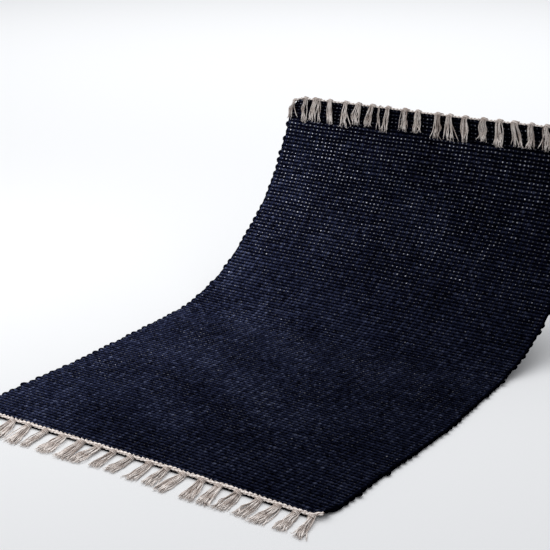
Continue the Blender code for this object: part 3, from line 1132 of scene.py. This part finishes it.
def tassel(yarns, fringe, row, chance, settings):
    """Add one tassel: its strands, their frayed ends and the knot that holds them."""
    reach, places, ahead, normal = spine_of(fringe, row.length_mm)
    knot = fringe.knot / 1000.0
    past = np.clip((reach - knot) / (reach[-1] - knot), 0.0, 1.0)
    before = np.clip((knot - reach) / knot, 0.0, 1.0)
    centre_x = row.across_mm / 1000.0 - RUG_WIDTH / 2.0
    lean = tan(radians(row.lean_degrees)) * np.clip(reach - knot, 0.0, None)
    radius = settings.strand_radius
    head = row.head_mm / 2000.0 - radius
    tip = row.tip_mm / 2000.0 - radius
    width = head + (tip - head) * past ** fringe.spread + FLARE_BEFORE_KNOT * before
    for strand in range(row.strands):
        across = -1.0 + 2.0 * (strand + 0.5) / row.strands + chance.normal(0.0, STRAND_SHUFFLE)
        layer = (strand * GOLDEN_SHARE + chance.uniform(0.0, LAYER_SHUFFLE)) % 1.0 - 0.5
        bend = chance.normal(0.0, STRAND_BEND) * np.sin(pi * past)
        bend = bend + chance.normal(0.0, STRAND_HOOK) * past ** 2
        wander = chance.normal(0.0, STRAND_WANDER)
        wander = wander * np.sin(chance.uniform(*WANDER_TURNS) * past + chance.uniform(*WANDER_STARTS))
        x = centre_x + lean + across * width + bend + wander * past
        if strand == 0 and row.stray_mm != 0.0:
            x = centre_x + lean + row.stray_mm / 1000.0 * past ** STRAY_CURVE
        thick = np.interp(past, (0.0, 1.0), BUNDLE_THICKNESS) * fringe.thickness
        depth = layer * thick + chance.normal(0.0, STRAND_DEPTH) * past
        stop = 1.0 - abs(chance.normal(0.0, STRAND_STOP))
        flat = np.column_stack((x, places + normal * depth[:, None]))
        wanted = np.linspace(0.0, stop, STRAND_STEPS)
        share = reach / reach[-1]
        path = np.column_stack([np.interp(wanted, share, flat[:, axis]) for axis in range(3)])
        if fringe.outwards < 0.0:
            path[:, 2] = np.maximum(path[:, 2], radius * FATTEST_STRAND + FLOOR_GAP)
        radii = np.full(STRAND_STEPS, radius) * chance.uniform(*STRAND_SIZES)
        radii[-3:] *= STRAND_TAPER
        shade = chance.uniform(*STRAND_SHADES) * np.linspace(ROOT_SHADE, TIP_SHADE, STRAND_STEPS)
        rings = yarn_rings(path, radii, (1.0, 0.0, 0.0), STRAND_SIDES, STRAND_LOBES, STRAND_TURNS)
        yarns.add(rings, shade[:, None])
        frayed_end(yarns, path, radius, chance, shade[-1])
    if row.strands >= FEWEST_KNOTTED:
        knot_wraps(yarns, fringe, row, reach, places, ahead, normal, centre_x)


def frayed_end(yarns, path, radius, chance, shade):
    """Add the loose fibres at the end of a strand."""
    heading = unit(path[-1] - path[-3])
    for _ in range(FIBRE_COUNT):
        spread = chance.normal(0.0, FIBRE_SPREAD, 3)
        length = chance.uniform(*FIBRE_LENGTHS)
        way = unit(heading + spread)
        tip = path[-1] + way * length
        middle = path[-1] + heading * length * FIBRE_BEND[0] + way * length * FIBRE_BEND[1]
        points = np.array((path[-1] - heading * FIBRE_ROOT, middle, tip))
        points[:, 2] = np.maximum(points[:, 2], FIBRE_LOWEST)
        yarns.add(yarn_rings(points, radius * np.array(FIBRE_RADII), (1.0, 0.1, 0.0), 4), shade)


def knot_wraps(yarns, fringe, row, reach, places, ahead, normal, centre_x):
    """Add the turns of yarn that wrap a tassel's strands into a knot."""
    where = fringe.wrap / 1000.0
    middle = np.array([np.interp(where, reach, places[:, axis]) for axis in (0, 1)])
    direction = unit(np.array([np.interp(where, reach, ahead[:, axis]) for axis in (0, 1)]))
    out = unit(np.array([np.interp(where, reach, normal[:, axis]) for axis in (0, 1)]))
    turn = np.linspace(0.0, 2.0 * pi * KNOT_TURNS, KNOT_STEPS)
    run = (turn / turn[-1] - 0.5) * 2.0 * KNOT_YARN * KNOT_TURNS_SIDE_BY_SIDE
    sideways = row.head_mm / 2000.0 * np.cos(turn)
    upwards = KNOT_HALF_HEIGHT * fringe.thickness * np.sin(turn)
    slant = KNOT_SLANT * sideways
    path = np.column_stack((
        centre_x + sideways,
        middle[0] + direction[0] * (run + slant) + out[0] * upwards,
        middle[1] + direction[1] * (run + slant) + out[1] * upwards,
    ))
    if fringe.outwards < 0.0:
        path[:, 2] = np.maximum(path[:, 2], KNOT_YARN * FATTEST_WRAP + FLOOR_GAP)
    radii = np.full(KNOT_STEPS, KNOT_YARN)
    radii[[0, -1]] *= 0.5
    rings = yarn_rings(path, radii, (0.0, *direction), STRAND_SIDES, KNOT_LOBES, STRAND_TURNS)
    yarns.add(rings, KNOT_SHADE)


class RUG_OT_fringes(bpy.types.Operator):
    """Knot a fringe at each end, with its cord, the warp's ends and its tassels"""

    bl_idname = "rug.fringes"
    bl_label = "Fringes"

    def execute(self, context):
        settings = context.scene.rug_settings
        material = material_once("natural_cotton_yarn", natural_yarn, context.scene.rug_colours)
        for fringe, node in zip(FRINGES, ("front_fringe", "back_fringe")):
            chance = np.random.default_rng(fringe.seed)
            yarns = YarnMesh()
            heading_cord(yarns, fringe)
            warp_teeth(yarns, fringe, settings)
            for row in fringe.tassels:
                tassel(yarns, fringe, row, chance, settings)
            piece = yarns.build(fringe.name, material, FRINGE_COLLECTION)
            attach(piece, "root")
            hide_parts(node)
        return {"FINISHED"}


# A soft light: its place, what it looks at, its level and its upright side, its power,
# its colour and the collection that it lights (none for all).
Lamp = namedtuple("Lamp", "name place target width length watts colour lights")
LAMPS = (
    Lamp(
        "soft_box", (-1.4, 2.2, 3.6), (-0.4, 1.0, 0.0),
        4.5, 4.5, 140.0, (0.98, 0.99, 1.0), None,
    ),
    Lamp(
        "side_strip", (-0.50, 0.0, 0.36), (-0.22, 0.0, 0.0),
        1.3, 0.2, 26.0, (0.97, 0.98, 1.0), FIELD_COLLECTION,
    ),
    Lamp(
        "dot_lamp", (-0.70, -0.05, 0.50), (-0.20, 0.40, 0.25),
        0.3, 0.3, 8.0, (1.0, 1.0, 1.0), WARP_COLLECTION,
    ),
    Lamp(
        "fringe_lamp", (-0.9, -1.2, 0.8), (0.0, 0.0, 0.1),
        0.4, 0.4, 11.0, (1.0, 0.99, 0.98), FRINGE_COLLECTION,
    ),
    Lamp(
        "floor_pool", (-0.87, -0.08, 0.95), (-0.49, -0.23, 0.0),
        0.7, 0.7, 2.8, (1.0, 1.0, 1.0), FLOOR_COLLECTION,
    ),
)
WORLD_COLOUR = (0.96, 0.97, 1.0, 1.0)
WORLD_STRENGTH = 0.500


def add_lamp(lamp):
    """Add one soft light that faces its target, with its width level."""
    bpy.ops.object.light_add(type="AREA", location=lamp.place)
    light = bpy.context.object
    light.name = light.data.name = lamp.name
    light.data.shape = "RECTANGLE"
    light.data.size = lamp.width
    light.data.size_y = lamp.length
    light.data.energy = lamp.watts
    light.data.color = lamp.colour
    light.visible_camera = False
    aim = Vector(lamp.target) - Vector(lamp.place)
    light.rotation_euler = aim.to_track_quat("-Z", "Y").to_euler()
    if lamp.lights is not None:
        light.light_linking.receiver_collection = collection_once(lamp.lights)


class RUG_OT_studio(bpy.types.Operator):
    """Set the camera, the pale floor and the soft lights"""

    bl_idname = "rug.studio"
    bl_label = "Studio"

    def execute(self, context):
        studio = context.scene.rug_studio
        bpy.ops.object.select_all(action="DESELECT")
        azimuth, elevation = studio.camera_azimuth, studio.camera_elevation
        bpy.ops.object.camera_add(
            location=studio.camera_place, rotation=(pi / 2.0 - elevation, 0.0, azimuth)
        )
        camera = context.object
        camera.name = "photo_camera"
        camera.data.lens = studio.focal_length
        camera.data.sensor_width = 36.0
        camera.data.clip_end = 100.0
        context.scene.camera = camera
        bpy.ops.mesh.primitive_plane_add(size=studio.floor_size, location=(0.0, 0.0, 0.0))
        floor = context.object
        floor.name = "studio_floor"
        floor.data.materials.append(floor_finish())
        collection_once(FLOOR_COLLECTION).objects.link(floor)
        for lamp in LAMPS:
            add_lamp(lamp)
        world = bpy.data.worlds.new("studio_sky")
        world.use_nodes = True
        sky = world.node_tree.nodes["Background"]
        sky.inputs["Color"].default_value = WORLD_COLOUR
        sky.inputs["Strength"].default_value = WORLD_STRENGTH
        context.scene.world = world
        context.scene.view_settings.view_transform = "Standard"
        return {"FINISHED"}


class RUG_PT_sidebar(bpy.types.Panel):
    """Lists the rug's sizes, colours and pieces"""

    bl_idname = "RUG_PT_sidebar"
    bl_label = "Cotton rug"
    bl_space_type = "VIEW_3D"
    bl_region_type = "UI"
    bl_category = "Cotton rug"

    def draw(self, context):
        scene = context.scene
        for group in (scene.rug_settings, scene.rug_colours, scene.rug_studio):
            for name in group.__annotations__:
                self.layout.prop(group, name)
        for operator in OPERATORS:
            self.layout.operator(operator.bl_idname)


OPERATORS = (RUG_OT_studio, RUG_OT_ground, RUG_OT_weft, RUG_OT_warp, RUG_OT_fringes)
CLASSES = (RugSettings, RugColours, StudioSettings, *OPERATORS, RUG_PT_sidebar)


def register():
    """Register the classes and give the scene their settings."""
    for registered in CLASSES:
        bpy.utils.register_class(registered)
    bpy.types.Scene.rug_settings = PointerProperty(type=RugSettings)
    bpy.types.Scene.rug_colours = PointerProperty(type=RugColours)
    bpy.types.Scene.rug_studio = PointerProperty(type=StudioSettings)


def unregister():
    """Undo what register did."""
    del bpy.types.Scene.rug_studio
    del bpy.types.Scene.rug_colours
    del bpy.types.Scene.rug_settings
    for registered in reversed(CLASSES):
        bpy.utils.unregister_class(registered)


def main():
    """Make the studio and the rug."""
    register()
    bpy.ops.rug.studio()
    bpy.ops.rug.ground()
    bpy.ops.rug.weft()
    bpy.ops.rug.warp()
    bpy.ops.rug.fringes()


if __name__ == "__main__":
    main()
